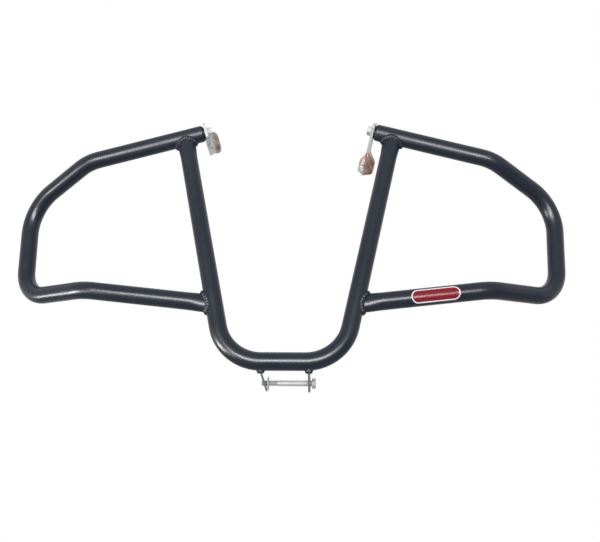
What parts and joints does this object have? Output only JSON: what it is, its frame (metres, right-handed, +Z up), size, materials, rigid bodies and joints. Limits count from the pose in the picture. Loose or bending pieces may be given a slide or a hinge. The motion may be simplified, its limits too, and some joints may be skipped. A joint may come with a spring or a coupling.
{
  "type": "motorcycle crash bars",
  "caption": "Tubular motorcycle crash bars: a splayed U tube with a welded guard loop on each side, bolted strap brackets at the top and a bolt between tabs underneath.",
  "frame": {"origin": "on the axis of the long lower bolt, half way between the two sides", "axes": "+Z up, +X to the right seen from the front and along the lower bolt, +Y to the rear"},
  "size_m": [0.8406, 0.0888, 0.4335],
  "materials": {
    "paint": "gloss blue-black powder coat",
    "zinc": "bright zinc plate",
    "tabs": "satin grey",
    "tape": "wrinkled brown packing tape",
    "sticker": "glossy red with a white rim"
  },
  "bodies": {
    "root": {"center_u_tube": "paint", "left_loop_tube": "paint", "left_upper_weld": "paint", "left_lower_weld": "paint", "left_end_boss": "paint", "left_end_weld": "paint", "left_tab_weld": "paint", "right_loop_tube": "paint", "right_upper_weld": "paint", "right_lower_weld": "paint", "right_end_boss": "paint", "right_end_weld": "paint", "right_tab_weld": "paint", "mount_bolt": "zinc", "mount_bolt_washer": "zinc", "left_strap": "zinc", "left_strap_bolt": "zinc", "left_strap_washer": "zinc", "left_fixing_bolt": "zinc", "left_fixing_nut": "zinc", "left_fixing_washers": "zinc", "right_strap": "zinc", "right_strap_bolt": "zinc", "right_strap_washer": "zinc", "right_fixing_bolt": "zinc", "right_fixing_nut": "zinc", "right_fixing_washers": "zinc", "left_tab": "tabs", "right_tab": "tabs", "left_tape_wrap": "tape", "right_tape_wrap": "tape", "oval_sticker": "sticker"}
  },
  "joints": []
}
